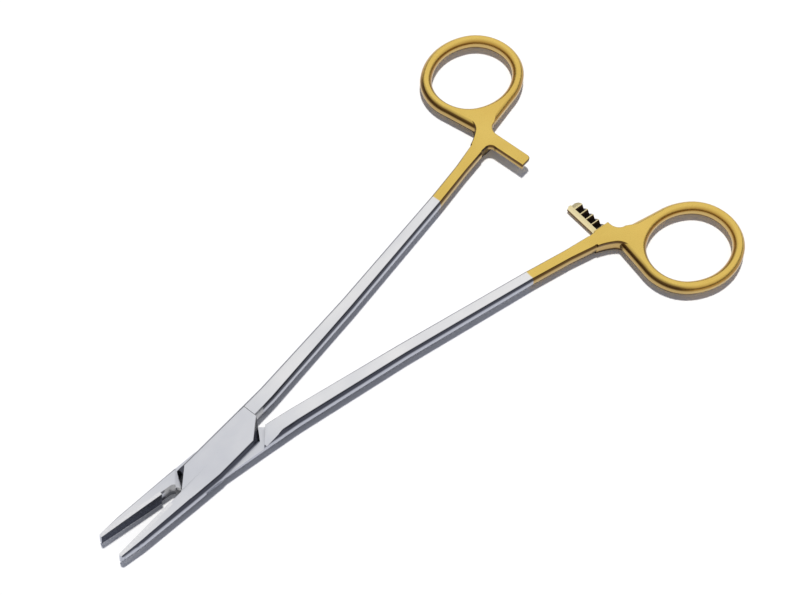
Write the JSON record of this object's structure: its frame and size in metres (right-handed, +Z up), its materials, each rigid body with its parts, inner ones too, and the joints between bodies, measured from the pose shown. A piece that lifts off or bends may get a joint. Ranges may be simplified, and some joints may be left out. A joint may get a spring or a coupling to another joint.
{
  "type": "surgical needle holder",
  "caption": "Long surgical needle holder with ring handles, a ratchet, a riveted box lock and short jaws with hard gripping inserts.",
  "frame": {"origin": "on the hinge axis, at the flat underside of the box", "axes": "+X along the centre line towards the jaw tips, +Z up along the hinge axis, +Y towards the ring of the half whose tongue passes through the box"},
  "size_m": [0.1955, 0.1122, 0.0055],
  "materials": {
    "forging": "satin stainless steel, gold plated from the ratchet end of the shanks over the rings",
    "rivet": "satin, ground flush",
    "carbide": "dark matt tungsten carbide with a cross-cut grip"
  },
  "bodies": {
    "box_side": {"box_half": "forging", "hinge_pin": "rivet", "box_jaw_insert": "carbide"},
    "lock_side": {"lock_half": "forging", "lock_jaw_insert": "carbide"}
  },
  "joints": [
    {"name": "box_lock", "type": "hinge", "parent": "box_side", "child": "lock_side", "pos_m": [0, 0, 0.00275], "axis": [0, 0, -1], "range_deg": [-10.48, 69.5]}
  ]
}
